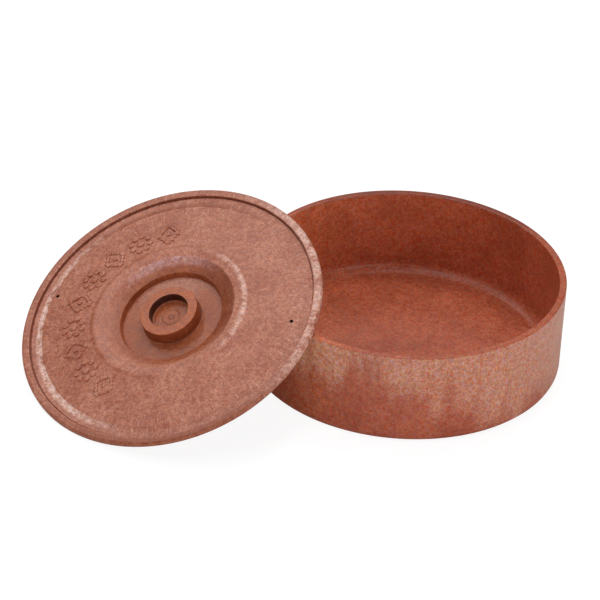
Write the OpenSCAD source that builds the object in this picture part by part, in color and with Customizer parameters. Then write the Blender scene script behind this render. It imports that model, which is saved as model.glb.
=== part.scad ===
// Tortilla warmer: a round bowl, its lid taken off and leaning on the bowl's rim, and the lid's ring knob.
// The origin is the middle of the bowl's underside, with Z up. The lid is drawn lying flat and then leaned.

/* [Bowl] */
// Outside diameter of the bowl at its rim
bowl_d = 210; // [160:1:280]
// Height of the rim above the table
bowl_h = 65; // [45:1:100]
// Thickness of the wall at the rim
rim_wall = 4.8; // [3.6:0.1:7]
// Thickness of the bottom
bottom_thick = 5; // [3:0.1:9]
// How much further in the wall stands at the table than at the rim
wall_draft = 0.4; // [0:0.1:4]
// How much thicker the wall grows from the rim down to the bottom
wall_thickening = 0.6; // [0:0.1:2]
// Radius of the outer corner between the wall and the underside
foot_corner_r = 5.5; // [4:0.5:14]
// Radius of the inner corner between the wall and the bottom
inner_corner_r = 7; // [3:0.5:14]
// Radius of the rounding on both edges of the rim
rim_edge_r = 1; // [0.4:0.1:1.6]

/* [Lid] */
// How far the lid's edge stands in from the bowl's outer edge
lid_set_in = 1.8; // [0.6:0.1:3]
// Thickness of the lid's wall
lid_wall = 3.6; // [2.4:0.1:5]
// Gap between the locating ring and the bowl's mouth when the lid is on
locating_gap = 0.6; // [0.3:0.1:1.5]
// How far the locating ring reaches below the lid's seat
locating_depth = 1.2; // [0.6:0.1:2.5]
// Height of the rim bead above the seat
bead_h = 3.6; // [2.8:0.1:6]
// Width of the rim bead
bead_w = 5.5; // [4:0.1:9]
// Radius of the bead's outer shoulder
bead_shoulder_r = 2; // [1:0.1:2.6]
// Radius of the rounding on the lid's lower edge
lid_edge_r = 0.5; // [0.2:0.1:0.8]
// Height of the step from the bead down into the channel
channel_step = 1.7; // [0.8:0.1:2.4]
// Width of the channel inside the bead
channel_w = 8.8; // [5:0.1:14]
// Height of the field's outer edge above the seat
field_edge_h = 2.5; // [2:0.1:4]
// How much the field rises from its outer edge to the lip
field_rise = 4; // [1:0.1:8]

/* [Finger recess] */
// Radius of the lip's outer foot
lip_foot_r = 52.8; // [48:0.1:56]
// Width of the lip from its foot to the recess's mouth
lip_w = 8; // [5:0.1:10]
// Height of the lip above the field's inner edge
lip_h = 0.9; // [0.3:0.1:2]
// Depth of the sloping part of the recess
slope_depth = 4.5; // [2:0.1:6]
// Width of the sloping part of the recess
slope_w = 9.7; // [7:0.1:12]

/* [Knob] */
// Outside diameter of the ring at its foot
knob_d = 40; // [30:0.5:46]
// Thickness of the ring's wall at its top
knob_wall = 6.2; // [3:0.1:7]
// How far the ring's wall leans in from its foot to its top
knob_draft = 0.5; // [0:0.1:2]
// Height of the ring above the foot disc
knob_h = 9; // [6:0.1:14]
// Depth of the hole in the ring
knob_hole_depth = 6.6; // [4:0.1:8.5]
// Radius of the rounding on the ring's top edges
knob_edge_r = 0.4; // [0.3:0.1:1.2]
// Thickness of the foot disc
disc_thick = 3; // [2:0.1:5]
// How far the foot disc reaches out under the lid
disc_seat_w = 4; // [2:0.1:6]
// Gap between the foot disc's edge and its collar
disc_gap = 0.2; // [0.1:0.1:0.5]

/* [Vents] */
// Diameter of each vent
vent_d = 2.4; // [1:0.1:4]
// Distance of the vents from the lid's middle
vent_r = 86.2; // [80:0.1:87]
// How far the line through the two vents passes from the lid's middle
vent_offset = 5; // [0:0.5:8]

/* [Relief] */
// Number of raised motifs along the arc
relief_count = 9; // [3:1:15]
// Angle from the first motif to the last
relief_arc = 137; // [60:1:150]
// Distance of the motifs' middles from the lid's middle
relief_r = 66.4; // [64:0.1:72]
// Height of a motif, measured from the middle outwards
relief_size = 17.5; // [10:0.5:20]
// How far a motif stands up from the field
relief_h = 0.9; // [0.3:0.1:1.2]
// Width of a motif's strokes
relief_stroke = 2.6; // [1.4:0.1:3]

/* [Leaning lid] */
// Tilt of the leaning lid from level
lean_tilt = 27.6; // [20:0.1:40]
// Direction in which the lid slopes down, turned from +X
lean_turn = -135.5; // [-180:0.5:180]
// How far the lid's middle lies to the side of the touching point
lean_side = -74.8; // [-85:0.1:85]
// Gap left between the leaning lid and the rim
lean_gap = 0.3; // [0.1:0.1:0.6]
// Turn of the lid about its own middle, from its downhill side to the first vent
lid_turn = -65.2; // [-180:0.1:180]

/* [Hidden] */
$fn = 180;
arc_steps = 8;      // chords in a rounded corner of an outline
past_face = 1;      // how far a cutter runs past a face
relief_root = 0.5;  // how far the relief is rooted in the lid
step_draft = 1;     // lean of the step round the foot disc
collar_w = 3;       // width of the collar round the foot disc
petals = 8;         // petals of a rosette
petal_place = 0.38; // distance of a petal from the rosette's middle, as a share of the motif's size
petal_size = 0.12;  // radius of a petal, as a share of the motif's size
diamond_steps = 4;  // steps along each side of a stepped diamond
diamond_side = 0.42;  // half the width of a stepped diamond, as a share of the motif's size
channel_level = 1 / 3;  // share of the channel's width that is level, next to the bead

bowl_r = bowl_d / 2;
mouth_r = bowl_r - rim_wall;
foot_r = bowl_r - wall_draft;
floor_r = foot_r - rim_wall - wall_thickening;

lid_r = bowl_r - lid_set_in;
locating_r = mouth_r - locating_gap;
bead_in_r = lid_r - bead_w;
field_r = bead_in_r - channel_w;
channel_h = bead_h - channel_step;
channel_flat = channel_w * channel_level;
lip_base_h = field_edge_h + field_rise;
mouth_edge_r = lip_foot_r - lip_w;
under_mouth_r = mouth_edge_r + lid_wall / 2;
lip_arc_r = lip_w * lip_w / (8 * lip_h) + lip_h / 2;
lip_half_angle = asin(lip_w / 2 / lip_arc_r);
slope_foot_r = mouth_edge_r - slope_w;
slope_foot_h = lip_base_h - slope_depth;

disc_top_h = slope_foot_h - lid_wall;
disc_hole_r = slope_foot_r - step_draft;
disc_r = disc_hole_r + disc_seat_w;
collar_r = disc_r + disc_gap;
collar_bottom_h = disc_top_h - disc_thick;

knob_foot_r = knob_d / 2;
knob_top_r = knob_foot_r - knob_draft;
knob_hole_r = knob_top_r - knob_wall;
knob_top_h = disc_top_h + knob_h;
knob_hole_h = knob_top_h - knob_hole_depth;

// The leaning pose: where the lid slopes down over the rim, the lower face of its locating ring stays lean_gap
// clear of the rim's rounded edge, and the rounded lower edge of the lid touches the table.
rim_support = (bowl_r - rim_edge_r) * sin(lean_tilt) + (bowl_h - rim_edge_r) * cos(lean_tilt) + rim_edge_r;
seat_distance = rim_support + lean_gap + locating_depth;
lean_z = (lid_r - lid_edge_r) * sin(lean_tilt) - lid_edge_r * cos(lean_tilt) + lid_edge_r;
lean_out = (seat_distance - lean_z * cos(lean_tilt)) / sin(lean_tilt);

// Points along an arc from angle a0 to angle a1
function arc(cx, cy, r, a0, a1) =
    [for (i = [0:arc_steps]) let (a = a0 + (a1 - a0) * i / arc_steps) [cx + r * cos(a), cy + r * sin(a)]];

// Upper side of the lid's section, from its lower edge in to the hole for the foot disc
function lid_upper() = concat(
    arc(lid_r - lid_edge_r, lid_edge_r, lid_edge_r, -90, 0),
    arc(lid_r - bead_shoulder_r, bead_h - bead_shoulder_r, bead_shoulder_r, 0, 90),
    [[bead_in_r, bead_h], [bead_in_r, channel_h], [bead_in_r - channel_flat, channel_h],
     [field_r, field_edge_h], [lip_foot_r, lip_base_h]],
    arc(lip_foot_r - lip_w / 2, lip_base_h + lip_h - lip_arc_r, lip_arc_r, 90 - lip_half_angle, 90 + lip_half_angle),
    [[slope_foot_r, slope_foot_h], [disc_hole_r, disc_top_h]]);

// Lower side of the lid's section, from the foot disc's seat out to the lid's seat on the rim
function lid_lower() =
    [[collar_r, disc_top_h], [collar_r, collar_bottom_h], [collar_r + collar_w, collar_bottom_h],
     [collar_r + collar_w, slope_foot_h - lid_wall], [under_mouth_r, lip_base_h - lid_wall],
     [lip_foot_r, lip_base_h - lid_wall], [field_r, -locating_depth], [locating_r, -locating_depth], [locating_r, 0]];

// Carries what is drawn lying flat to its leaning place
module lean_lid()
    translate([lean_out * cos(lean_turn) - lean_side * sin(lean_turn),
               lean_out * sin(lean_turn) + lean_side * cos(lean_turn), lean_z])
        rotate([0, lean_tilt, lean_turn]) rotate([0, 0, lid_turn]) children();

module bowl() {
    color("sienna") rotate_extrude() polygon(concat(
        [[0, 0]],
        arc(foot_r - foot_corner_r, foot_corner_r, foot_corner_r, -90, 0),
        arc(bowl_r - rim_edge_r, bowl_h - rim_edge_r, rim_edge_r, 0, 90),
        arc(mouth_r + rim_edge_r, bowl_h - rim_edge_r, rim_edge_r, 90, 180),
        arc(floor_r - inner_corner_r, bottom_thick + inner_corner_r, inner_corner_r, 0, -90),
        [[0, bottom_thick]]));
}

// Stepped diamond, reaching half_long along X and half_wide along Y
module stepped_diamond(half_long, half_wide)
    for (k = [1:diamond_steps])
        square([2 * half_long * (diamond_steps + 1 - k) / diamond_steps, 2 * half_wide * k / diamond_steps],
               center = true);

module diamond_motif() {
    half_long = relief_size / 2;
    half_wide = relief_size * diamond_side;
    difference() {
        stepped_diamond(half_long, half_wide);
        stepped_diamond(half_long - relief_stroke, half_wide - relief_stroke);
    }
    square(relief_stroke, center = true);
}

module rosette_motif() {
    circle(r = relief_stroke);
    for (i = [0:petals - 1])
        rotate((i + 0.5) * 360 / petals)
            translate([relief_size * petal_place, 0]) circle(r = relief_size * petal_size);
}

// The raised motifs, cut off parallel to the field's cone
module relief() intersection() {
    linear_extrude(height = bead_h + lip_base_h)
        for (i = [0:relief_count - 1])
            rotate((i / (relief_count - 1) - 0.5) * relief_arc) translate([relief_r, 0])
                if (i % 2 == 0) diamond_motif(); else rosette_motif();
    rotate_extrude() polygon([[lip_foot_r, lip_base_h - relief_root], [field_r, field_edge_h - relief_root],
                              [field_r, field_edge_h + relief_h], [lip_foot_r, lip_base_h + relief_h]]);
}

module vents()
    for (side = [-1, 1])
        translate([side * sqrt(vent_r * vent_r - vent_offset * vent_offset), -vent_offset, -lid_wall])
            cylinder(h = 2 * lid_wall + field_edge_h + past_face, d = vent_d);

module lid() {
    color("indianred") lean_lid() difference() {
        union() {
            rotate_extrude() polygon(concat(lid_upper(), lid_lower()));
            relief();
        }
        vents();
    }
}

module lid_knob() {
    color("rosybrown") lean_lid() rotate_extrude() polygon(concat(
        [[0, collar_bottom_h], [disc_r, collar_bottom_h], [disc_r, disc_top_h], [knob_foot_r, disc_top_h]],
        arc(knob_top_r - knob_edge_r, knob_top_h - knob_edge_r, knob_edge_r, 0, 90),
        arc(knob_hole_r + knob_edge_r, knob_top_h - knob_edge_r, knob_edge_r, 90, 180),
        [[knob_hole_r, knob_hole_h], [0, knob_hole_h]]));
}

bowl();
lid();
lid_knob();
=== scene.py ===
# %% [markdown]
# # A terracotta-coloured tortilla warmer
#
# The real thing is two thick mouldings of fibre-filled plastic: a round bowl, and a lid with a ring knob
# set in a finger recess. The bowl stands open, and its lid leans on the rim with its lower edge on the
# table. The packed model gives the frame: its sizes and places are fixed, and everything here is made
# around them.

# %% Load the fixed frame
import math

import bmesh
import bpy
from mathutils import Euler, Matrix, Vector


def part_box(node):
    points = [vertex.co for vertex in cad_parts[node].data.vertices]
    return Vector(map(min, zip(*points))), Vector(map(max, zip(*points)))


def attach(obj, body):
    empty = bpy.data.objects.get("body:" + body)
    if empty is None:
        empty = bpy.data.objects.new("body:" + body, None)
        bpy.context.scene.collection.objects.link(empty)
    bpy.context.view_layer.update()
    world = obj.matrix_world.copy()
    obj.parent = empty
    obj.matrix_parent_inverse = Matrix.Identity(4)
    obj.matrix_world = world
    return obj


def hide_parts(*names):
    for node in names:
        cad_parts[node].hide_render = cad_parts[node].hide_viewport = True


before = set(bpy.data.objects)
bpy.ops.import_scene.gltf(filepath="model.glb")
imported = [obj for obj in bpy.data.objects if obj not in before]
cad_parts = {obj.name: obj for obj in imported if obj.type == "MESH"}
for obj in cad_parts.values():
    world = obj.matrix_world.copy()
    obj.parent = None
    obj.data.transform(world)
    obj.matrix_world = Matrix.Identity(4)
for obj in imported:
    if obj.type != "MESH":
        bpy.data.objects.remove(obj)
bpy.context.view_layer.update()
scene = bpy.context.scene
MM = 0.001
print("frame nodes:", sorted(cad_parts))

# %% [markdown]
# The photograph was taken from far away with a long lens, so its ellipses hardly taper. A camera 3 m off
# with a 270 mm lens gives the same view. It looks down by about 32 degrees, and the picture hangs 3.3
# degrees clockwise. The camera is placed by these values and never aims at anything, so the framing stays
# put.

# %% The camera
CAMERA_PLACE = Vector((-69.99, -2521.32, 1626.39)) * MM
CAMERA_PITCH = math.radians(32.207)
CAMERA_ROLL = math.radians(3.324)
LENS_MM = 270

camera_data = bpy.data.cameras.new("camera")
camera_data.lens = LENS_MM
camera_data.sensor_width = 36
camera = bpy.data.objects.new("camera", camera_data)
scene.collection.objects.link(camera)
turn = Euler((math.pi / 2 - CAMERA_PITCH, 0, 0)).to_matrix() @ Matrix.Rotation(CAMERA_ROLL, 3, "Z")
camera.matrix_world = Matrix.Translation(CAMERA_PLACE) @ turn.to_4x4()
scene.camera = camera
print("camera at", [round(x, 3) for x in CAMERA_PLACE])

# %% [markdown]
# All sizes are in millimetres and are the packed model's own, so the drawn pieces lie on its solids. Names
# that end in R are radii, and those that end in H are heights. The last lines hold what the model leaves
# plain: the channel's hollow, a groove at the bead's foot, the lip's crest and the recess's curve. Each
# stays within a millimetre of the solids, and the light finds it all the same.

# %% Sizes of bowl and lid, in millimetres
BOWL_R, BOWL_H, RIM_EDGE = 105.0, 65.0, 1.0
RIM_WALL, BOTTOM, FOOT_R, FOOT_CORNER = 4.8, 5.0, 104.6, 5.5
INNER_FLOOR_R, INNER_CORNER = 99.2, 7.0
LID_R, LID_EDGE, LID_WALL, LOCATING_R, LOCATING_H = 103.2, 0.5, 3.6, 99.6, 1.2
BEAD_H, BEAD_IN_R, BEAD_DRAFT, CHANNEL_H = 3.6, 97.7, 0.15, 1.9
FIELD_R, FIELD_H, LIP_R, LIP_BASE_H, LIP_W = 88.9, 2.6, 52.8, 6.5, 8.0
MOUTH_R = LIP_R - LIP_W
SLOPE_R, SLOPE_H = 35.1, 2.0
DISC_TOP = SLOPE_H - LID_WALL
DISC_R, DISC_THICK, HOLE_R = 38.1, 3.0, 34.1
SEAT_GAP, COLLAR_W = 0.2, 3.0

CHANNEL_MID_R, CHANNEL_MID_H = 91.5, 1.4
GROOVE_DEPTH, GROOVE_WIDTH, GROOVE_SLOPE = 0.5, 0.55, 0.3
LIP_FOOT_R, LIP_FOOT_H, CREST_R, CREST_H, MOUTH_H = 54.2, 6.4, 52.0, 7.4, 6.7
SLOPE_MID_R, SLOPE_MID_H = (MOUTH_R + SLOPE_R) / 2 - 0.4, (LIP_BASE_H + SLOPE_H) / 2 - 0.9
print("bowl", 2 * BOWL_R, "mm across and", BOWL_H, "mm high, lid", 2 * LID_R, "mm across")

# %% [markdown]
# The lid is easiest to make lying flat, with the middle of its seat at the origin. These values carry it to
# its leaning place. They are the model's own: where it slopes down over the rim, the ring under the lid
# just clears the rim's rounded edge, and its rounded lower edge touches the table.

# %% The lid's leaning place
LEAN = math.radians(27.6)
LEAN_TURN = math.radians(-135.5)
LEAN_SIDE, LEAN_GAP = -74.8, 0.3
LID_TURN = math.radians(-65.2)

support = (BOWL_R - RIM_EDGE) * math.sin(LEAN) + (BOWL_H - RIM_EDGE) * math.cos(LEAN) + RIM_EDGE
lean_z = (LID_R - LID_EDGE) * math.sin(LEAN) - LID_EDGE * math.cos(LEAN) + LID_EDGE
lean_out = (support + LEAN_GAP + LOCATING_H - lean_z * math.cos(LEAN)) / math.sin(LEAN)
lean_place = Matrix.Rotation(LEAN_TURN, 3, "Z") @ Vector((lean_out, LEAN_SIDE, 0)) + Vector((0, 0, lean_z))
LID_POSE = (Matrix.Translation(lean_place * MM) @ Matrix.Rotation(LEAN_TURN, 4, "Z")
            @ Matrix.Rotation(LEAN, 4, "Y") @ Matrix.Rotation(LID_TURN, 4, "Z"))
print("lid's middle at", [round(x, 2) for x in lean_place], "mm")

# %% [markdown]
# Bowl, lid and knob are all turned shapes, so one helper makes them. It takes the corners of half a section
# as radius, height and set-back, bevels each corner by its set-back while the section is still a wire, adds
# a holding point close to both ends of each long straight, and spins the wire into a closed skin. Rounding
# the wire is cheaper than bevelling the finished skin, and the holding points keep broad faces flat under
# smooth shading.

# %% A turned piece from the corners of its section
TURN_STEPS = 288
HOLD = 0.35
MERGE = 1e-6


def wire_corner(wire, corner):
    radius, height = corner[0], corner[1]
    return wire.verts.new((radius * MM, 0, height * MM))


def round_corners(wire, verts, corners, segments):
    for vert, corner in zip(verts, corners):
        if len(corner) > 2:
            bmesh.ops.bevel(wire, geom=[vert], offset=corner[2] * MM, offset_type="OFFSET", affect="VERTICES",
                            segments=segments, profile=0.5, material=-1)


def hold_straights(wire, hold=HOLD * MM):
    for edge in list(wire.edges):
        length = edge.calc_length()
        if length > 4 * hold:
            first = edge.verts[0]
            new_edge, _ = bmesh.utils.edge_split(edge, first, hold / length)
            rest = edge if edge.calc_length() > new_edge.calc_length() else new_edge
            far = max(rest.verts, key=lambda v: (v.co - first.co).length)
            bmesh.utils.edge_split(rest, far, hold / rest.calc_length())


def turned(name, corners, closed=False, segments=5):
    wire = bmesh.new()
    verts = [wire_corner(wire, c) for c in corners]
    for a, b in zip(verts, verts[1:] + (verts[:1] if closed else [])):
        wire.edges.new((a, b))
    round_corners(wire, verts, corners, segments)
    hold_straights(wire)
    bmesh.ops.spin(wire, geom=wire.verts[:] + wire.edges[:], cent=(0, 0, 0), axis=(0, 0, 1),
                   angle=2 * math.pi, steps=TURN_STEPS, use_merge=True)
    bmesh.ops.remove_doubles(wire, verts=wire.verts, dist=MERGE)
    bmesh.ops.recalc_face_normals(wire, faces=wire.faces)
    mesh = bpy.data.meshes.new(name)
    wire.to_mesh(mesh)
    wire.free()
    mesh.shade_smooth()
    piece = bpy.data.objects.new(name, mesh)
    scene.collection.objects.link(piece)
    return piece


print("a turned piece has", TURN_STEPS, "steps round")

# %% [markdown]
# The bowl is a plain upright moulding. What makes it look right is at its edges: a flat rim nearly 5 mm
# wide with two crisp small roundings that catch the light, and a generous corner where the wall meets the
# table.

# %% The bowl
bowl = turned("bowl_shell", [
    (0, 0),
    (FOOT_R, 0, FOOT_CORNER),
    (BOWL_R, BOWL_H, RIM_EDGE),
    (BOWL_R - RIM_WALL, BOWL_H, RIM_EDGE),
    (INNER_FLOOR_R, BOTTOM, INNER_CORNER),
    (0, BOTTOM),
])
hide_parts("bowl")
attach(bowl, "base")
print("bowl:", len(bowl.data.polygons), "faces")

# %% [markdown]
# The lid's section, from outside in: a rounded edge and bead, a sharp step down into a fine groove and a
# hollow channel, a low cone, a soft lip, the curved finger recess, and a step down to the knob's foot disc.
# Then it runs back along the underside, past the collar round the foot disc, to the ring that centres the
# lid in the bowl. It is turned lying flat, like the bowl, and leaned afterwards.

# %% The lid
groove_r = BEAD_IN_R - BEAD_DRAFT
seat_r = DISC_R + SEAT_GAP
lid = turned("lid_shell", [
    (LID_R, 0, LID_EDGE),
    (LID_R, BEAD_H, 1.8),
    (BEAD_IN_R, BEAD_H, 0.35),
    (groove_r, CHANNEL_H - GROOVE_DEPTH, 0.1),
    (groove_r - GROOVE_WIDTH, CHANNEL_H - GROOVE_DEPTH, 0.1),
    (groove_r - GROOVE_WIDTH - GROOVE_SLOPE, CHANNEL_H, 0.3),
    (CHANNEL_MID_R, CHANNEL_MID_H, 2.4),
    (FIELD_R, FIELD_H, 0.25),
    (LIP_FOOT_R, LIP_FOOT_H, 0.5),
    (CREST_R, CREST_H, 1.1),
    (MOUTH_R, MOUTH_H, 0.45),
    (SLOPE_MID_R, SLOPE_MID_H, 3.8),
    (SLOPE_R, SLOPE_H, 0.4),
    (HOLE_R, DISC_TOP),
    (seat_r, DISC_TOP),
    (seat_r, DISC_TOP - DISC_THICK, 0.3),
    (seat_r + COLLAR_W, DISC_TOP - DISC_THICK, 0.8),
    (seat_r + COLLAR_W, DISC_TOP, 0.8),
    (MOUTH_R + LID_WALL / 2, LIP_BASE_H - LID_WALL, 2.0),
    (LIP_R, LIP_BASE_H - LID_WALL, 2.0),
    (FIELD_R, -LOCATING_H, 1.5),
    (LOCATING_R, -LOCATING_H, 0.5),
    (LOCATING_R, 0, 0.2),
], closed=True)
print("lid:", len(lid.data.polygons), "faces")

# %% [markdown]
# Two pinholes let steam out near the edge. A boolean cut with the exact solver makes them real holes, and
# its result is made the mesh at once, so that no modifier is left. Their rims turn sharply, so those edges
# are marked sharp and the broad surfaces stay smooth.

# %% The vents
VENT_R, VENT_OFFSET, VENT_D = 86.2, 5.0, 2.4
DRILL_SIDES, DRILL_LENGTH = 32, 20.0
SHARP_ANGLE = math.radians(38)


def apply_modifiers(piece):
    bpy.context.view_layer.update()
    evaluated = piece.evaluated_get(bpy.context.evaluated_depsgraph_get())
    mesh = bpy.data.meshes.new_from_object(evaluated)
    piece.modifiers.clear()
    piece.data = mesh


def drill(piece, places, diameter):
    shape = bmesh.new()
    for x, y in places:
        bmesh.ops.create_cone(shape, cap_ends=True, segments=DRILL_SIDES, radius1=diameter / 2 * MM,
                              radius2=diameter / 2 * MM, depth=DRILL_LENGTH * MM,
                              matrix=Matrix.Translation((x * MM, y * MM, 0)))
    mesh = bpy.data.meshes.new("drill")
    shape.to_mesh(mesh)
    shape.free()
    cutter = bpy.data.objects.new("drill", mesh)
    scene.collection.objects.link(cutter)
    cut = piece.modifiers.new("vents", "BOOLEAN")
    cut.object = cutter
    cut.solver = "EXACT"
    apply_modifiers(piece)
    bpy.data.objects.remove(cutter)


vent_x = math.sqrt(VENT_R ** 2 - VENT_OFFSET ** 2)
drill(lid, [(vent_x, -VENT_OFFSET), (-vent_x, -VENT_OFFSET)], VENT_D)
lid.data.set_sharp_from_angle(angle=SHARP_ANGLE)
print("lid with vents:", len(lid.data.polygons), "faces")

# %% [markdown]
# Nine raised motifs stand in an arc on the cone: stepped diamonds and rosettes, a common folk pattern. Each
# starts as a flat outline round the origin. A diamond's frame is the space between two staircases, filled
# as one face, with a small square in its middle. A rosette is one round face with eight smaller ones about
# it.

# %% The motifs' outlines
MOTIF_SIZE, STROKE = 17.5, 2.6
STEPS, DIAMOND_SIDE = 4, 0.42
PETALS, PETAL_PLACE, PETAL_SIZE = 8, 0.38, 0.12
ROUND_SIDES, PETAL_SIDES = 32, 24


def stepped_outline(half_long, half_wide):
    """One stepped diamond, as the corners of its staircase all the way round."""
    quarter = []
    for k in range(STEPS):
        quarter += [(half_long * (STEPS - k) / STEPS, half_wide * k / STEPS),
                    (half_long * (STEPS - k) / STEPS, half_wide * (k + 1) / STEPS)]
    upper = quarter + [(-x, y) for x, y in reversed(quarter)]
    return upper + [(-x, -y) for x, y in upper]


def loop_of(shape, points):
    unique = [p for i, p in enumerate(points) if math.dist(p, points[i - 1]) > MERGE]
    verts = [shape.verts.new((x * MM, y * MM, 0)) for x, y in unique]
    return [shape.edges.new((a, b)) for a, b in zip(verts, verts[1:] + verts[:1])]


def stepped_diamond(shape):
    half_long, half_wide = MOTIF_SIZE / 2, MOTIF_SIZE * DIAMOND_SIDE
    edges = loop_of(shape, stepped_outline(half_long, half_wide))
    edges += loop_of(shape, stepped_outline(half_long - STROKE, half_wide - STROKE))
    bmesh.ops.triangle_fill(shape, use_beauty=True, use_dissolve=True, edges=edges, normal=(0, 0, 1))
    side = STROKE / 2
    square = loop_of(shape, [(side, side), (-side, side), (-side, -side), (side, -side)])
    bmesh.ops.contextual_create(shape, geom=square)


def rosette(shape):
    bmesh.ops.create_circle(shape, cap_ends=True, segments=ROUND_SIDES, radius=STROKE * MM)
    for i in range(PETALS):
        turn = Matrix.Rotation((i + 0.5) * 2 * math.pi / PETALS, 4, "Z")
        place = turn @ Matrix.Translation((MOTIF_SIZE * PETAL_PLACE * MM, 0, 0))
        bmesh.ops.create_circle(shape, cap_ends=True, segments=PETAL_SIDES,
                                radius=MOTIF_SIZE * PETAL_SIZE * MM, matrix=place)


print("a diamond has", len(stepped_outline(1, 1)), "corner points, a rosette", PETALS, "petals")

# %% [markdown]
# A flat motif is extruded and softened along its top edge, as a worn mould leaves it. Then it is laid on
# the cone by lifting every point by the cone's height at its own radius, so its top follows the slope. Its
# foot goes a little way into the lid, which leaves no gap where the two meet.

# %% Raise a motif and lay it on the cone
RELIEF_H, ROOT, RELIEF_EDGE = 0.9, 0.4, 0.12


def raise_motif(shape):
    extruded = bmesh.ops.extrude_face_region(shape, geom=shape.faces[:])["geom"]
    top = [e for e in extruded if isinstance(e, bmesh.types.BMVert)]
    top_z = (RELIEF_H + ROOT) * MM
    bmesh.ops.translate(shape, vec=(0, 0, top_z), verts=top)
    bmesh.ops.recalc_face_normals(shape, faces=shape.faces)
    rim = [e for e in shape.edges if all(abs(v.co.z - top_z) < 1e-7 for v in e.verts)
           and any(abs(f.normal.z) < 0.5 for f in e.link_faces)]
    bmesh.ops.bevel(shape, geom=rim, offset=RELIEF_EDGE * MM, offset_type="OFFSET", affect="EDGES",
                    segments=2, profile=0.5, material=-1)


def cone_height(radius):
    share = (FIELD_R * MM - radius) / ((FIELD_R - LIP_R) * MM)
    return (FIELD_H + (LIP_BASE_H - FIELD_H) * share) * MM


def lay_on_cone(shape):
    for v in shape.verts:
        v.co.z += cone_height(math.hypot(v.co.x, v.co.y)) - ROOT * MM


print("cone's height at the lip:", round(cone_height(LIP_R * MM) / MM, 2), "mm")

# %% [markdown]
# The motifs are made one by one, turned to their places in the arc, and gathered into one piece. It stays
# apart from the lid's own mesh: joining them by a boolean would cut the lid's clean rings into slivers, and
# the light would show each one.

# %% The relief
MOTIFS, MOTIF_ARC, MOTIF_R = 9, math.radians(137), 66.4
RELIEF_SHARP = math.radians(50)

relief_shape = bmesh.new()
for i in range(MOTIFS):
    motif = bmesh.new()
    (stepped_diamond if i % 2 == 0 else rosette)(motif)
    raise_motif(motif)
    turn = Matrix.Rotation((i / (MOTIFS - 1) - 0.5) * MOTIF_ARC, 4, "Z")
    bmesh.ops.transform(motif, matrix=turn @ Matrix.Translation((MOTIF_R * MM, 0, 0)), verts=motif.verts)
    lay_on_cone(motif)
    part = bpy.data.meshes.new("motif")
    motif.to_mesh(part)
    motif.free()
    relief_shape.from_mesh(part)
    bpy.data.meshes.remove(part)
relief_mesh = bpy.data.meshes.new("lid_relief")
relief_shape.to_mesh(relief_mesh)
relief_shape.free()
relief_mesh.shade_smooth()
relief_mesh.set_sharp_from_angle(angle=RELIEF_SHARP)
relief = bpy.data.objects.new("lid_relief", relief_mesh)
scene.collection.objects.link(relief)
print("relief:", len(relief_mesh.polygons), "faces")

# %% [markdown]
# The knob is a short ring on a round foot disc that closes the recess from below. The ring's top edges are
# only lightly rounded. Inside it, the mould has left a faint ring and a small round mark where it was
# filled.

# %% The knob
KNOB_FOOT_R, KNOB_TOP_R, KNOB_HOLE_R = 20.0, 19.5, 13.3
KNOB_TOP, KNOB_HOLE_H, KNOB_HOLE_DRAFT = 7.4, 0.8, 0.3
MARK_OUT_R, MARK_IN_R, MARK_H, MARK_SLOPE = 6.6, 5.0, 0.25, 0.4
GATE_R, GATE_H, GATE_SLOPE = 2.4, 0.35, 0.3
knob = turned("knob_ring", [
    (0, DISC_TOP - DISC_THICK),
    (DISC_R, DISC_TOP - DISC_THICK, 0.4),
    (DISC_R, DISC_TOP, 0.2),
    (KNOB_FOOT_R, DISC_TOP, 0.5),
    (KNOB_TOP_R, KNOB_TOP, 0.35),
    (KNOB_HOLE_R, KNOB_TOP, 0.35),
    (KNOB_HOLE_R - KNOB_HOLE_DRAFT, KNOB_HOLE_H, 0.9),
    (MARK_OUT_R, KNOB_HOLE_H, 0.2),
    (MARK_OUT_R - MARK_SLOPE, KNOB_HOLE_H + MARK_H, 0.2),
    (MARK_IN_R + MARK_SLOPE, KNOB_HOLE_H + MARK_H, 0.2),
    (MARK_IN_R, KNOB_HOLE_H, 0.2),
    (GATE_R, KNOB_HOLE_H, 0.15),
    (GATE_R - GATE_SLOPE, KNOB_HOLE_H + GATE_H, 0.15),
    (0, KNOB_HOLE_H + GATE_H),
])
print("knob:", len(knob.data.polygons), "faces")

# %% [markdown]
# Lid, relief and knob were all made lying flat, so one pose leans them together. It is applied to the
# meshes, and the objects stay unturned at the origin, because the patterns are laid on Object coordinates.
# The cell then compares the drawn lid's box with the packed one, which shows at once if a value has
# slipped.

# %% Lean the lid with its relief and knob
for piece, nodes in ((lid, ["lid"]), (relief, []), (knob, ["lid_knob"])):
    piece.data.transform(LID_POSE)
    piece.data.update()
    if nodes:
        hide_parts(*nodes)
    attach(piece, "cover")
drawn = [v.co for v in lid.data.vertices]
for axis, name in enumerate("xyz"):
    low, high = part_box("lid")[0][axis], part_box("lid")[1][axis]
    print(name, "off by", round((min(c[axis] for c in drawn) - low) / MM, 2),
          round((max(c[axis] for c in drawn) - high) / MM, 2), "mm")

# %% [markdown]
# Shader maths is clearer as expressions than as piles of nodes. This class wraps one output socket; adding,
# multiplying or comparing it adds the Math node behind the scenes. Every other node comes from `make`,
# which takes the node's type, its settings, and the values or links of its sockets.


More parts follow.
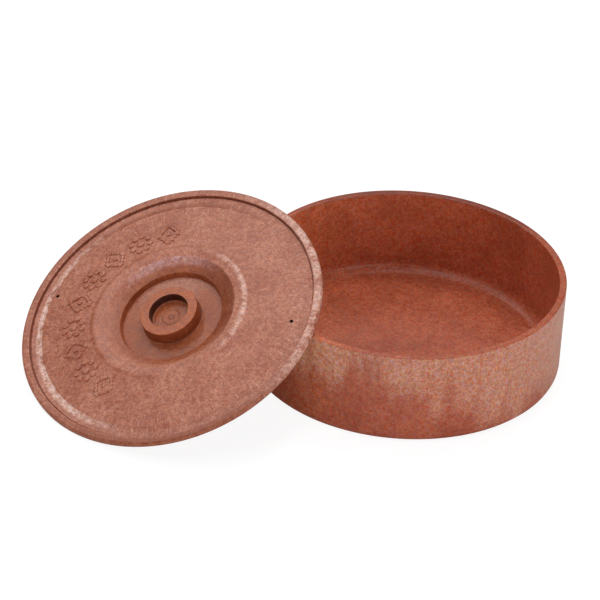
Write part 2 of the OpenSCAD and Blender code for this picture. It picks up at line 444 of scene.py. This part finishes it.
# %% Shader sockets that can be used in sums
class Signal:
    """One output socket of a material's nodes."""

    def __init__(self, tree, socket):
        self.tree, self.socket = tree, socket

    def make(self, kind, settings, sockets, output=0):
        node = self.tree.nodes.new(kind)
        for name, value in settings.items():
            setattr(node, name, value)
        for name, value in sockets.items():
            if isinstance(value, Signal):
                self.tree.links.new(value.socket, node.inputs[name])
            else:
                node.inputs[name].default_value = value
        return Signal(self.tree, node.outputs[output] if node.outputs else None)

    def _math(self, operation, first, second):
        return self.make("ShaderNodeMath", {"operation": operation}, {0: first, 1: second})

    def __add__(self, other):
        return self._math("ADD", self, other)

    __radd__ = __add__

    def __mul__(self, other):
        return self._math("MULTIPLY", self, other)

    __rmul__ = __mul__

    def __sub__(self, other):
        return self._math("SUBTRACT", self, other)

    def __rsub__(self, other):
        return self._math("SUBTRACT", other, self)

    def __abs__(self):
        return self._math("ABSOLUTE", self, 0)

    def highest(self, other):
        return self._math("MAXIMUM", self, other)

    def ramp(self, low, high):
        """0 below low, 1 above high, smooth between."""
        return self.make("ShaderNodeMapRange", {"interpolation_type": "SMOOTHSTEP"},
                         {"Value": self, "From Min": low, "From Max": high})

    def noise(self, scale, detail=2.0, roughness=0.5, distortion=0.0):
        return self.make("ShaderNodeTexNoise", {}, {"Vector": self, "Scale": scale, "Detail": detail,
                                                    "Roughness": roughness, "Distortion": distortion})

    def placed(self, stretch=(1, 1, 1), move=(0, 0, 0)):
        """Coordinates stretched along each axis, then moved."""
        return self.make("ShaderNodeMapping", {"vector_type": "POINT"},
                         {"Vector": self, "Scale": stretch, "Location": move})

    def vector(self, operation, second=(0, 0, 0), output=0):
        return self.make("ShaderNodeVectorMath", {"operation": operation}, {0: self, 1: second}, output)

    def tinted(self, shares):
        """This colour with its red, green and blue multiplied by the shares."""
        return self.vector("MULTIPLY", shares)

    def part(self, axis):
        return self.make("ShaderNodeSeparateXYZ", {}, {"Vector": self}, output=axis)

    def mix(self, first, second):
        """first where this is 0, second where it is 1."""
        return self.make("ShaderNodeMix", {"data_type": "RGBA"}, {0: self, 6: first, 7: second}, output=2)


def shader_start(owner):
    """Empties the nodes of a material or world, and gives a Signal to make new ones from."""
    owner.use_nodes = True
    owner.node_tree.nodes.clear()
    return Signal(owner.node_tree, None)


print("a socket can do:", [name for name in vars(Signal) if not name.startswith("_")])

# %% [markdown]
# Colours are easiest to judge as a picture shows them, 0 to 255, so a helper turns those into linear light.
# Places on a turned piece are rings, so a second helper is 1 between two radii and fades at both ends. The
# third lays coats of colour over a base, each where its mask is and as strongly as its share, like a maker
# who tints a casting in several thin passes.


# %% Colours, rings and coats
def colour(red, green, blue):
    def linear(value):
        share = value / 255
        return share / 12.92 if share <= 0.04045 else ((share + 0.055) / 1.055) ** 2.4
    return linear(red), linear(green), linear(blue), 1


def rising(value, low, high):
    """0 below low and 1 above high, in millimetres."""
    return value.ramp(low * MM, high * MM)


def between(value, start, full, fade, end):
    """1 from full to fade, and 0 before start and past end, in millimetres."""
    return rising(value, start, full) * (1 - rising(value, fade, end))


def coated(base, coats):
    for mask, share, tint in coats:
        base = (mask * share).mix(base, colour(*tint))
    return base


print("mid grey is", round(colour(128, 128, 128)[0], 3), "in linear light")

# %% [markdown]
# The plastic is filled with fine plant fibre. Close up it shows a mottle of a few millimetres, curled pale
# threads under a millimetre thick, and single orange or greyish grains. The threads are the contour lines
# of a noise, broken up by a second one, which gives short curls in all directions. A noise's scale is its
# number of patches in a metre, so 330 makes patches of 3 mm.

# %% Fibre: mottle, grains and threads
MOTTLE, FINE, ORANGE, GREY = 330.0, 900.0, 640.0, 560.0
LONG_CURLS, SHORT_CURLS = (300.0, 0.05), (480.0, 0.06)


def threads(where, scale, width):
    """Short curled lines of about this width, as a share of 1/scale."""
    field = where.noise(scale, 1.0, 0.5, 0.6)
    line = 1 - abs(field - 0.5).ramp(0, width)
    return line * where.placed(move=(0.31, 0.17, 0.23)).noise(scale * 0.8, 1.0).ramp(0.47, 0.58)


def fibre(where):
    """Masks of the mottle, the fine mottle, the orange grains, the grey grains and the curled threads."""
    return (where.noise(MOTTLE, 3.0, 0.6).ramp(0.40, 0.60),
            where.noise(FINE, 2.0, 0.6).ramp(0.40, 0.62),
            where.placed(move=(0.7, 0.2, 0.4)).noise(ORANGE, 1.5, 0.5).ramp(0.50, 0.62),
            where.placed(move=(0.1, 0.9, 0.5)).noise(GREY, 1.5, 0.5).ramp(0.50, 0.62),
            threads(where, *LONG_CURLS).highest(threads(where.placed(move=(0.5, 0.4, 0.8)), *SHORT_CURLS)))


print("mottle patches of", round(1000 / MOTTLE, 1), "mm, fine ones of", round(1000 / FINE, 1), "mm")

# %% [markdown]
# The fibre's marks tint whatever body colour lies under them, so the recess's deeper red and painted shade
# and the bead's painted highlight keep the same grain. They also drive a very low bump and the roughness,
# because fibres are a little duller than the resin round them. Everything is noise on Object coordinates, so
# it runs through the piece as filler does.

# %% The finished plastic
BUMP_MM, BUMP_STRENGTH = 0.15, 0.5
SMOOTHEST, MOTTLE_DULL, FINE_DULL, RESIN_IOR = 0.38, 0.07, 0.05, 1.5


def finish_plastic(where, body, tones, thread_share, grain_share):
    """Tints a body colour with the fibre's marks, and gives the whole shader."""
    mottle, fine, orange, grey, curls = fibre(where)
    surface = (mottle * 0.5 + fine * 0.5).mix(body.tinted(tones["dark"]), body.tinted(tones["light"]))
    surface = (orange * grain_share).mix(surface, surface.tinted(tones["orange"]))
    surface = (grey * grain_share).mix(surface, surface.tinted(tones["grey"]))
    surface = (curls * thread_share).mix(surface, body.tinted(tones["thread"]))
    height = mottle * 0.5 + fine * 0.35 + curls * 0.35
    bump = where.make("ShaderNodeBump", {},
                      {"Height": height, "Strength": BUMP_STRENGTH, "Distance": BUMP_MM * MM})
    roughness = SMOOTHEST + mottle * MOTTLE_DULL + fine * FINE_DULL
    shader = where.make("ShaderNodeBsdfPrincipled", {}, {"Base Color": surface, "Roughness": roughness,
                                                         "Normal": bump, "IOR": RESIN_IOR})
    where.make("ShaderNodeOutputMaterial", {}, {"Surface": shader})


print("roughness from", SMOOTHEST, "to", round(SMOOTHEST + MOTTLE_DULL + FINE_DULL, 2))

# %% [markdown]
# The bowl's wall tells how it was filled. From the rim down, tan lobes hang over a redder ground, where the
# melt's last, cooler part ran down the wall. The right end is paler, and the left end, by the lid, is painted
# paler as painted light against the lid's shadow. Inside, the wall and the bottom keep the redder ground, and
# the far part of the rim's top is painted darkest, as painted shade. The lobes are one noise stretched along
# the wall's height, added to the height itself, so that they hang down from the rim.

# %% The bowl's plastic
BOWL_TONES = {"dark": (0.80, 0.67, 0.61), "light": (1.19, 1.33, 1.40), "orange": (1.08, 0.56, 0.36),
              "grey": (1.00, 1.08, 1.95), "thread": (1.35, 1.70, 1.90)}
LOBE_SCALES, HEIGHT_PULL, RIGHT_PULL = (46, 46, 15), 9.0, 4.5
LEFT_PAINTED_LIGHT = (1.33, 1.50, 1.44)
bowl_plastic = bpy.data.materials.new("bowl_plastic")
where = shader_start(bowl_plastic).make("ShaderNodeTexCoord", {}, {}, output="Object")
side, depth, height = where.part(0), where.part(1), where.part(2)
radius = where.vector("MULTIPLY", (1, 1, 0)).vector("LENGTH", output=1)
rim_top = rising(height, 64.0, 64.6)
clouds = where.noise(38.0, 3.0, 0.6).ramp(0.34, 0.66)
lobes = where.placed(stretch=LOBE_SCALES).noise(1.0, 2.0, 0.55)
tan_lobes = (lobes + height * HEIGHT_PULL + side.highest(0) * RIGHT_PULL).ramp(0.74, 1.06)
# painted shade: the top of the rim is darkened towards the far side
inner = coated(clouds.mix(colour(168, 86, 51), colour(182, 96, 59)),
               [(rim_top * rising(depth, 20, 90), 0.7, (112, 46, 28))])
outer = coated(clouds.mix(colour(160, 76, 44), colour(174, 92, 58)), [(tan_lobes, 0.85, (196, 138, 104))])
body = (rising(radius, 102.0, 103.2) * (1 - rim_top)).mix(inner, outer)
# painted light: the bowl's left end, by the lid, is tinted paler
body = rising(side * -1, 20, 75).mix(body, body.tinted(LEFT_PAINTED_LIGHT))
finish_plastic(where, body, BOWL_TONES, 0.3, 1.0)
print("bowl plastic:", len(bowl_plastic.node_tree.nodes), "nodes")

# %% [markdown]
# The lid's marks follow its rings, so its coordinates have to lie flat first. A Mapping node set to TEXTURE
# undoes the leaning pose. The length of the flat part is then the radius, and its products with three fixed
# directions say how far a place is towards the low side at the table, the far side, or the bowl's rim.

# %% The lid's flat coordinates
LOW_SIDE, FAR_SIDE, RIM_SIDE = (0.91, 0.41, 0), (0.35, -0.94, 0), (-0.94, -0.35, 0)
lid_plastic = bpy.data.materials.new("lid_plastic")
leaning = shader_start(lid_plastic).make("ShaderNodeTexCoord", {}, {}, output="Object")
where = leaning.make("ShaderNodeMapping", {"vector_type": "TEXTURE"},
                     {"Vector": leaning, "Location": LID_POSE.translation, "Rotation": LID_POSE.to_euler()})
flat = where.vector("MULTIPLY", (1, 1, 0))
radius, height = flat.vector("LENGTH", output=1), where.part(2)
direction = flat.vector("NORMALIZE")
low_side = direction.vector("DOT_PRODUCT", LOW_SIDE, output=1)
far_side = direction.vector("DOT_PRODUCT", FAR_SIDE, output=1)
rim_side = direction.vector("DOT_PRODUCT", RIM_SIDE, output=1)
print("lid leans by", [round(math.degrees(a), 1) for a in LID_POSE.to_euler()], "degrees")

# %% [markdown]
# The lid was filled from the middle, so faint pale streaks radiate across its outer part. The direction
# from the middle, scaled up, with the radius as a third coordinate, makes a noise that is long outwards and
# narrow round the lid, and has no seam where an angle would jump. Painted highlights lie in pale patches on
# the channel at the low side, and on the lip's crest and the bead at the bowl's side. Painted shade darkens
# the channel and the bead towards the far side and the bead at the near side, and the groove at the bead's
# foot is painted as a dark line of shade.

# %% The lid's outer part
GATE_STREAKS, STREAK_LENGTH = 95.0, 160.0
outward = direction.vector("MULTIPLY", (GATE_STREAKS, GATE_STREAKS, 0))
along = radius.make("ShaderNodeCombineXYZ", {}, {"Z": radius * STREAK_LENGTH})
streaks = outward.vector("ADD", along).noise(1.0, 1.0, 0.5).ramp(0.56, 0.70) * rising(radius, 60, 95)
channel = between(radius, 88.9, 89.3, 91.8, 94.5)
groove = between(radius, 96.8, 97.0, 97.6, 97.8)
bead = rising(radius, 98.0, 99.0)
crest = between(radius, 48.5, 51.8, 52.4, 54.5)
# painted highlights: pale patches on the channel at the low side, and on the crest and bead at the bowl's
# side
highlight_patches = where.noise(160.0, 3.0, 0.6).ramp(0.30, 0.55)
painted_highlight = (channel * low_side.ramp(0.25, 0.95) * 1.6).highest(crest.highest(bead)
                                                             * low_side.ramp(-0.45, -0.95)) * highlight_patches
clouds = where.noise(52.0, 3.0, 0.6).ramp(0.34, 0.66)
field = coated(clouds.mix(colour(165, 92, 64), colour(179, 109, 80)), [
    (streaks, 0.35, (216, 160, 134)),
    # painted shade: the channel and the bead darker towards the far side
    (channel.highest(bead) * far_side.ramp(-0.4, 0.6), 0.35, (150, 82, 54)),
    # painted shade: the bead darker at the near side
    (bead * far_side.ramp(-0.2, -1.0), 0.8, (140, 68, 36)),
    # painted shade: the channel darker still at the far side
    (channel * far_side.ramp(0.6, 1.0), 0.5, (140, 72, 44)),
    # painted highlights, laid on in pale patches
    (painted_highlight, 0.62, (228, 182, 160)),
    # painted shade: the groove at the bead's foot as a dark line
    (groove, 0.6, (96, 36, 18)),
])
print("outer part:", len(lid_plastic.node_tree.nodes), "nodes so far")

# %% [markdown]
# The recess is a deeper, darker red than the field, partly as its own redder body and partly as painted
# shade, and the knob keeps its own deeper red. The wall of the finger hole is painted darkest, as painted
# shade. On the recess's slope, a painted sheen makes the far side of its upper part greyer, painted light
# makes the near side of its upper part lighter, and painted shade darkens it towards the bowl; painted shade
# also darkens the ring's outer wall, and a painted highlight lightens the disc's far side. The masks are
# rings again, so each ends exactly at the edge it belongs to. The vents' walls are painted nearly black, as
# painted shade; they are the only places within their radius, so a distance from their axes finds them.

# %% The lid's recess, knob and vents
# the recess's deeper red: partly its own redder body, partly painted shade
recess_red_and_shade = coated(clouds.mix(colour(148, 72, 36), colour(160, 82, 44)), [
    (1 - rising(radius, 19.8, 20.3), 1.0, (168, 84, 42)),
    # painted shade: the finger hole's wall is the darkest
    ((1 - rising(radius, 13.35, 13.55)) * rising(height, 0.6, 2.2), 0.95, (44, 12, 8)),
])
slope = between(radius, 34.5, 36.0, 44.5, 45.8)
upper_slope = slope * rising(radius, 38.5, 42.5)
ring_wall = between(radius, 19.2, 19.5, 20.1, 20.3) * (1 - rising(height, 6.8, 7.2))
disc = between(radius, 20.5, 21.5, 33.5, 34.0)
across = flat.make("ShaderNodeCombineXYZ", {}, {"X": abs(flat.part(0)), "Y": flat.part(1)})
from_vent = across.vector("DISTANCE", (vent_x * MM, -VENT_OFFSET * MM, 0), output=1)
body = coated((1 - rising(radius, 36.5, 45.0)).mix(field, recess_red_and_shade), [
    # painted sheen: the upper slope greyer at the far side
    (upper_slope * far_side.ramp(0.55, 1.0), 0.45, (206, 158, 150)),
    # painted light: the upper slope lighter at the near side
    (upper_slope * far_side.ramp(-0.3, -1.0), 0.4, (208, 142, 108)),
    # painted shade: the slope darker towards the bowl
    (slope * rim_side.ramp(0.3, 1.0), 0.5, (112, 46, 18)),
    # painted shade: the ring's outer wall darkened
    (ring_wall, 0.7, (112, 46, 18)),
    # painted highlight: the disc lighter at its far side
    (disc * far_side.ramp(0.5, 1.0), 0.4, (204, 142, 116)),
    # painted shade: the vents' walls nearly black
    (1 - rising(from_vent, 1.21, 1.23), 1.0, (24, 8, 6)),
])
print("with the recess:", len(lid_plastic.node_tree.nodes), "nodes so far")

# %% [markdown]
# The lid's mottle is pinker than the bowl's, with more threads and fewer grains. Lid, relief and knob share
# its plastic: the rings in its masks lie where each of them ends, so one material serves all three.

# %% The lid's plastic, and every piece in its own
LID_TONES = {"dark": (0.78, 0.64, 0.56), "light": (1.26, 1.46, 1.60), "orange": (1.02, 0.68, 0.46),
             "grey": (0.98, 1.08, 1.60), "thread": (1.50, 2.05, 2.60)}
finish_plastic(where, body, LID_TONES, 0.6, 0.6)
for piece, material in ((bowl, bowl_plastic), (lid, lid_plastic), (relief, lid_plastic), (knob, lid_plastic)):
    piece.data.materials.clear()
    piece.data.materials.append(material)
print("lid plastic:", len(lid_plastic.node_tree.nodes), "nodes")

# %% [markdown]
# A white floor with no visible horizon. Near the object the camera sees it mostly as plain white, with a
# share of real shading, so that the shadows under the bowl and the lid stay. Farther off it is wholly
# white, as the backdrop is. To the light it is a white surface that throws light up at the walls, as a
# table in a light tent does.

# %% The floor
FLOOR_SIZE, FLOOR_DROP = 6, 0.3
FLOOR_GREY, FLOOR_GLOW = 0.9, 1.13
NEAR_SHARE, NEAR_MM, FAR_MM = 0.8, 500, 1500


def floor_material():
    material = bpy.data.materials.new("floor_white")
    start = shader_start(material)
    shaded = start.make("ShaderNodeBsdfDiffuse", {}, {"Color": (FLOOR_GREY, FLOOR_GREY, FLOOR_GREY, 1)})
    white = start.make("ShaderNodeEmission", {}, {"Color": (1, 1, 1, 1), "Strength": FLOOR_GLOW})
    seen = start.make("ShaderNodeLightPath", {}, {}, output="Is Camera Ray")
    place = start.make("ShaderNodeTexCoord", {}, {}, output="Object")
    far = rising(place.vector("LENGTH", output=1), NEAR_MM, FAR_MM)
    share = seen * (NEAR_SHARE + far * (1 - NEAR_SHARE))
    mixed = start.make("ShaderNodeMixShader", {}, {0: share, 1: shaded, 2: white})
    start.make("ShaderNodeOutputMaterial", {}, {"Surface": mixed})
    return material


plane = bmesh.new()
bmesh.ops.create_grid(plane, x_segments=1, y_segments=1, size=FLOOR_SIZE)
bmesh.ops.translate(plane, vec=(0, 0, -FLOOR_DROP * MM), verts=plane.verts)
floor_mesh = bpy.data.meshes.new("floor")
plane.to_mesh(floor_mesh)
plane.free()
floor = bpy.data.objects.new("floor", floor_mesh)
scene.collection.objects.link(floor)
floor_mesh.materials.append(floor_material())
print("floor:", 2 * FLOOR_SIZE, "m across,", FLOOR_DROP, "mm under the bowl")

# %% [markdown]
# Nine softboxes stand on a wide ball round the object, each with its compass angle from +X and its height
# angle. The strongest is low at the front right and lights the bowl's wall. The ones overhead, behind and
# at the left light the lid and leave the small walls that face the camera dark. Most strengths were found by
# rendering each lamp alone and adding the pictures up in the shares that matched best.

# %% The lights
MIDDLE, LAMP_DISTANCE = Vector((-0.05, 0, 0.03)), 2.2
LAMPS = [
    # name, compass angle, height angle, width in metres, watts
    ("front_right_low", 310, 14, 0.9, 15.2),
    ("front_low", 265, 8, 0.9, 5),
    ("back_high", 63, 70, 0.45, 9.3),
    ("overhead", 0, 90, 0.9, 8.3),
    ("left_back", 144, 52, 0.6, 8.2),
    ("front_left", 234, 55, 0.45, 6.6),
    ("back", 100, 48, 0.9, 6),
    ("left", 190, 40, 0.9, 4.5),
    ("right_low", 0, 12, 0.9, 2.2),
]


def around(azimuth, elevation):
    turn, up = math.radians(azimuth), math.radians(elevation)
    return MIDDLE + LAMP_DISTANCE * Vector((math.cos(up) * math.cos(turn), math.cos(up) * math.sin(turn),
                                            math.sin(up)))


def softbox(name, place, width, power):
    data = bpy.data.lights.new(name, "AREA")
    data.shape = "SQUARE"
    data.size = width
    data.energy = power
    light = bpy.data.objects.new(name, data)
    scene.collection.objects.link(light)
    aim = (MIDDLE - place).to_track_quat("-Z", "Y")
    light.matrix_world = Matrix.Translation(place) @ aim.to_matrix().to_4x4()


for name, azimuth, elevation, width, power in LAMPS:
    softbox(name, around(azimuth, elevation), width, power)
print(len(LAMPS), "softboxes,", round(sum(lamp[-1] for lamp in LAMPS), 1), "W in all")

# %% [markdown]
# The backdrop is white to the camera and only a faint pale fill to everything else, so it opens the shadows
# a little without flattening the relief. The Standard view keeps the floor's white as white as it is set.

# %% The backdrop
FILL, WHITE = 0.08, 1.0
world = bpy.data.worlds.new("world")
scene.world = world
sky = shader_start(world)
pale = sky.make("ShaderNodeBackground", {}, {"Color": (1, 1, 1, 1), "Strength": FILL})
white = sky.make("ShaderNodeBackground", {}, {"Color": (1, 1, 1, 1), "Strength": WHITE})
seen = sky.make("ShaderNodeLightPath", {}, {}, output="Is Camera Ray")
both = sky.make("ShaderNodeMixShader", {}, {0: seen, 1: pale, 2: white})
sky.make("ShaderNodeOutputWorld", {}, {"Surface": both})
scene.view_settings.view_transform = "Standard"
print("backdrop:", len(world.node_tree.nodes), "nodes")

# %% [markdown]
